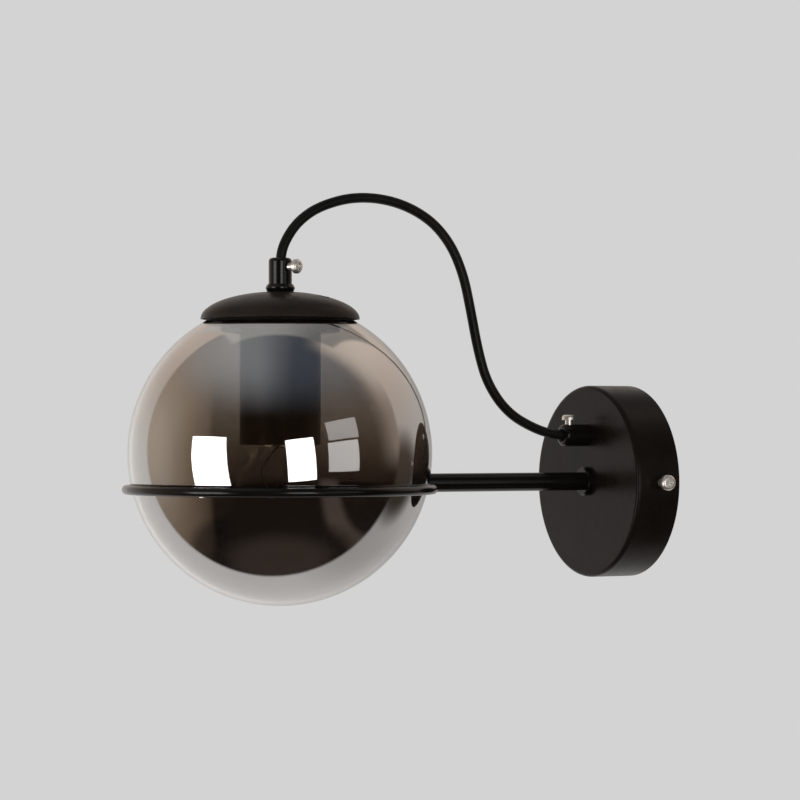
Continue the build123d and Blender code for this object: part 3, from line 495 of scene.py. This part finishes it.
def make_globe():
    """Blown shell with a polished mouth."""
    inner = globe_radius - globe_wall
    rise = globe_rim - globe_centre.z
    polish = mouth_polish
    polish_angles = (35, 65, 90)
    steps = 150
    around = 256
    outer_top = asin((rise - polish) / globe_radius)
    inner_top = asin((rise - polish) / inner)
    profile = []
    for step in range(1, steps + 1):
        angle = -pi / 2 + (outer_top + pi / 2) * step / steps
        profile.append((globe_radius * cos(angle), globe_centre.z + globe_radius * sin(angle)))
    outer_edge = profile[-1][0]
    inner_edge = inner * cos(inner_top)
    for angle in polish_angles:
        turn = radians(angle)
        profile.append((outer_edge - polish * (1 - cos(turn)), globe_rim - polish + polish * sin(turn)))
    for angle in reversed(polish_angles):
        turn = radians(angle)
        profile.append((inner_edge + polish * (1 - cos(turn)), globe_rim - polish + polish * sin(turn)))
    for step in range(steps, 0, -1):
        angle = -pi / 2 + (inner_top + pi / 2) * step / steps
        profile.append((inner * cos(angle), globe_centre.z + inner * sin(angle)))
    count = len(profile)
    vertices = []
    for turn in range(around):
        angle = tau * turn / around
        for radius, height in profile:
            vertices.append((radius * cos(angle), lamp_y + radius * sin(angle), height))
    outer_pole = len(vertices)
    vertices.append((0.0, lamp_y, globe_centre.z - globe_radius))
    vertices.append((0.0, lamp_y, globe_centre.z - inner))
    faces = []
    for turn in range(around):
        here = turn * count
        there = (turn + 1) % around * count
        for point in range(count - 1):
            faces.append((here + point, there + point, there + point + 1, here + point + 1))
        faces.append((outer_pole, there, here))
        faces.append((outer_pole + 1, here + count - 1, there + count - 1))
    mesh = mesh_from("globe_shell", vertices, faces)
    mesh.materials.append(finishes["smoked_mirror_glass"])
    globe = add_object("globe_shell", mesh, "globe")
    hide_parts("globe_glass")


make_globe()

# ---------------------------------------------------------------- stage and light

softbox_distance = 1.6
# Name, degrees to the right, degrees up, width, height, radiance, degrees of roll
softboxes = (
    ("softbox_left", -50.8, -8.0, 0.82, 1.12, 4.5, 1.5),
    ("softbox_front", 17.9, -4.1, 0.59, 0.87, 4.5, 6),
    ("window_lower", 50.2, -1.5, 0.69, 0.57, 1.0, 4),
    ("window_upper", 50.2, 16.5, 0.69, 0.36, 0.62, 4),
)
background = 0.651
diffuse_grey = 0.42
floor_height = -0.26
floor_radius = 0.68
floor_fade_from = 0.2
floor_grey = 0.62

# Colours of the plain studio that glossy surfaces mirror
room_tone = (0.014, 0.0085, 0.0055)
room_foot_tone = (0.06, 0.044, 0.035)
streak_tone = (0.125, 0.095, 0.078)
left_wall_stops = (
    (0.55, (0.022, 0.0145, 0.01)),
    (0.62, (0.13, 0.09, 0.06)),
    (0.75, (0.23, 0.165, 0.115)),
    (0.85, (0.32, 0.24, 0.17)),
    (0.95, (0.44, 0.36, 0.28)),
    (1.04, (0.66, 0.56, 0.46)),
)
right_wall_near, right_wall_far = (0.03, 0.02, 0.014), (0.38, 0.31, 0.265)
ceiling_left, ceiling_right = (0.39, 0.405, 0.425), (0.105, 0.125, 0.155)
ceiling_far_right = (0.62, 0.53, 0.47)
sheet_low, sheet_high = (0.97, 0.94, 0.915), (0.66, 0.555, 0.48)
high_right_tone = (0.86, 0.74, 0.64)
painted_lamp_shadow_tone = (0.07, 0.055, 0.045)
panel_left, panel_right = (0.6, 0.6, 0.58), (0.24, 0.235, 0.235)


def make_world():
    """Plain pale surroundings, with a plain studio in their place for what glossy surfaces mirror."""
    world = bpy.data.worlds.new("studio")
    bpy.context.scene.world = world
    world.use_nodes = True
    nodes, links = world.node_tree.nodes, world.node_tree.links
    shader = nodes["Background"]
    direction = nodes.new("ShaderNodeTexCoord").outputs["Generated"]

    def along(axis):
        """How far the direction points along an axis, from -1 to 1."""
        dot = nodes.new("ShaderNodeVectorMath")
        dot.operation = "DOT_PRODUCT"
        links.new(direction, dot.inputs[0])
        dot.inputs[1].default_value = axis
        return dot.outputs["Value"]

    def sum_of(first, first_share, second, second_share):
        shares = []
        for value, share in ((first, first_share), (second, second_share)):
            node = nodes.new("ShaderNodeMath")
            node.operation = "MULTIPLY"
            links.new(value, node.inputs[0])
            node.inputs[1].default_value = share
            shares.append(node.outputs["Value"])
        node = nodes.new("ShaderNodeMath")
        links.new(shares[0], node.inputs[0])
        links.new(shares[1], node.inputs[1])
        return node.outputs["Value"]

    def step_over(value, low, high):
        """0 at low and 1 at high, with a soft step between them."""
        node = nodes.new("ShaderNodeMapRange")
        node.interpolation_type = "SMOOTHSTEP"
        node.inputs["From Min"].default_value = low
        node.inputs["From Max"].default_value = high
        links.new(value, node.inputs["Value"])
        return node.outputs["Result"]

    def product(first, second):
        node = nodes.new("ShaderNodeMath")
        node.operation = "MULTIPLY"
        links.new(first, node.inputs[0])
        links.new(second, node.inputs[1])
        return node.outputs["Value"]

    def ramp(value, *stops):
        node = nodes.new("ShaderNodeValToRGB")
        span = nodes.new("ShaderNodeMapRange")
        low, high = stops[0][0], stops[-1][0]
        span.inputs["From Min"].default_value = low
        span.inputs["From Max"].default_value = high
        links.new(value, span.inputs["Value"])
        links.new(span.outputs["Result"], node.inputs["Fac"])
        elements = node.color_ramp.elements
        elements[0].color = (*stops[0][1], 1)
        elements[1].color = (*stops[-1][1], 1)
        for position, colour in stops[1:-1]:
            elements.new((position - low) / (high - low)).color = (*colour, 1)
        return node.outputs["Color"]

    def scaled(colour, factor):
        node = nodes.new("ShaderNodeVectorMath")
        node.operation = "SCALE"
        links.new(colour, node.inputs[0])
        node.inputs["Scale"].default_value = factor
        return node.outputs["Vector"]

    def blend(factor, first, second):
        """First where the factor is 0, second where it is 1."""
        node = nodes.new("ShaderNodeMix")
        node.data_type = "RGBA"
        links.new(factor, node.inputs["Factor"])
        for name, value in (("A", first), ("B", second)):
            socket = next(s for s in node.inputs if s.name == name and s.type == "RGBA")
            if isinstance(value, tuple):
                socket.default_value = (*value, 1)
            else:
                links.new(value, socket)
        return next(s for s in node.outputs if s.type == "RGBA")

    toward = along(level_back)
    right = along(view_right)
    up = along((0, 0, 1))

    # A dim brown room with a lighter wall on each side and a bluish ceiling
    room = room_tone
    streak = product(step_over(right, 0.47, 0.58), step_over(right, 0.74, 0.66))
    streak = product(streak, step_over(up, -0.26, -0.36))
    streak = product(streak, step_over(up, -0.86, -0.7))
    room = blend(streak, room, streak_tone)
    left_wall = ramp(sum_of(right, -1.0, toward, -0.3), *left_wall_stops)
    left_wall = blend(step_over(up, -0.62, -0.74), left_wall, scaled(left_wall, 0.35))
    room = blend(step_over(up, -0.84, -0.96), room, room_foot_tone)
    room = blend(step_over(right, -0.45, -0.6), room, left_wall)
    right_wall = blend(step_over(toward, 0.2, -0.25), right_wall_near, right_wall_far)
    right_side = product(step_over(right, 0.25, 0.6), step_over(up, -0.2, 0.1))
    room = blend(right_side, room, right_wall)
    ceiling = blend(step_over(right, -0.3, 0.2), ceiling_left, ceiling_right)
    far_right = product(step_over(toward, 0.1, -0.25), step_over(right, 0.15, 0.42))
    ceiling = blend(far_right, ceiling, ceiling_far_right)
    room = blend(step_over(up, 0.42, 0.98), room, ceiling)

    # The pale sheet behind the lamp, warmer above and dimmer on the right, with a painted shadow of the
    # lamp on it
    sheet = blend(step_over(up, -0.05, 0.55), sheet_low, sheet_high)
    dim_right = product(step_over(right, 0.0, 0.55), step_over(up, 0.5, 0.1))
    sheet = blend(dim_right, sheet, scaled(sheet, 0.7))
    high_right = product(step_over(right, 0.25, 0.5), step_over(up, 0.35, 0.75))
    # Painted shadow: a dark patch where the lamp's shadow falls on the sheet, and the sheet darker
    # straight behind the lamp
    shade = along(view_right * 0.93 - level_back * 0.31 - Vector((0, 0, 0.2)))
    sheet = blend(step_over(shade, 0.9, 0.985), sheet, painted_lamp_shadow_tone)
    sheet = blend(step_over(toward, -0.86, -1.0), sheet, scaled(sheet, 0.65))
    low_right = product(step_over(right, -0.2, 0.3), step_over(up, 0.5, 0.1))
    sheet = blend(product(step_over(toward, -0.72, -0.98), low_right), sheet, scaled(sheet, 0.7))
    sheet_edge = sum_of(sum_of(toward, -1.0, right, 0.1137), 1.0, up, -0.0967)
    mirrored = blend(step_over(sheet_edge, 0.3, 0.37), room, sheet)
    mirrored = blend(product(high_right, step_over(toward, 0.05, -0.33)), mirrored, high_right_tone)

    # A pale panel high up on the far side
    panel_sides = product(step_over(right, -0.43, -0.38), step_over(right, 0.46, 0.41))
    panel = product(product(panel_sides, step_over(toward, -0.15, -0.22)), step_over(up, 0.5, 0.56))
    panel_colour = blend(step_over(right, -0.15, 0.4), panel_left, panel_right)
    mirrored = blend(panel, mirrored, panel_colour)

    # Only glossy rays see the studio; the camera sees the plain background
    plain = (background, background, background)
    path = nodes.new("ShaderNodeLightPath")
    seen = blend(path.outputs["Is Glossy Ray"], plain, mirrored)
    diffuse = (diffuse_grey, diffuse_grey, diffuse_grey)
    links.new(blend(path.outputs["Is Diffuse Ray"], seen, diffuse), shader.inputs["Color"])


def make_floor():
    """Pale floor below the lamp, which fades into the background."""
    mesh = bpy.data.meshes.new("floor")
    shape = bmesh.new()
    bmesh.ops.create_circle(shape, cap_ends=True, segments=96, radius=floor_radius)
    shape.to_mesh(mesh)
    shape.free()
    floor = bpy.data.objects.new("floor", mesh)
    floor.location = (0.0, -0.1, floor_height)
    floor.visible_glossy = False
    floor.visible_diffuse = False
    bpy.context.scene.collection.objects.link(floor)
    paint = Paint("pale_floor").set(Roughness=0.9)
    paint.shader.inputs["Base Color"].default_value = (floor_grey, floor_grey, floor_grey, 1)
    paint.shader.inputs["Specular IOR Level"].default_value = 0.0
    distance = paint.nodes.new("ShaderNodeVectorMath")
    distance.operation = "LENGTH"
    paint.link(paint.place, distance.inputs[0])
    fade = paint.spread(distance.outputs["Value"], 1.0, 0.0, floor_fade_from, floor_radius)
    clear = paint.nodes.new("ShaderNodeBsdfTransparent")
    mix = paint.nodes.new("ShaderNodeMixShader")
    paint.link(fade, mix.inputs["Fac"])
    paint.link(clear.outputs["BSDF"], mix.inputs[1])
    paint.link(paint.shader.outputs["BSDF"], mix.inputs[2])
    paint.link(mix.outputs["Shader"], paint.output.inputs["Surface"])
    mesh.materials.append(paint.material)


def softbox(name, across, rise, width, height, radiance, roll):
    """Area light seen from the globe at angles from the camera's side, in degrees."""
    turn, lift = radians(across), radians(rise)
    way = view_right * sin(turn) * cos(lift) + level_back.normalized() * cos(turn) * cos(lift)
    way += Vector((0, 0, sin(lift)))
    data = bpy.data.lights.new(name, "AREA")
    data.shape = "RECTANGLE"
    data.size = width
    data.size_y = height
    data.energy = radiance * pi * width * height
    lamp = bpy.data.objects.new(name, data)
    lamp.location = globe_centre + way * softbox_distance
    facing = (-way).to_track_quat("-Z", "Y").to_matrix()
    lamp.rotation_euler = (facing @ Matrix.Rotation(radians(roll), 3, "Z")).to_euler()
    lamp.visible_camera = False
    bpy.context.scene.collection.objects.link(lamp)


make_world()
make_floor()
for values in softboxes:
    softbox(*values)

bpy.context.scene.view_settings.view_transform = "Standard"
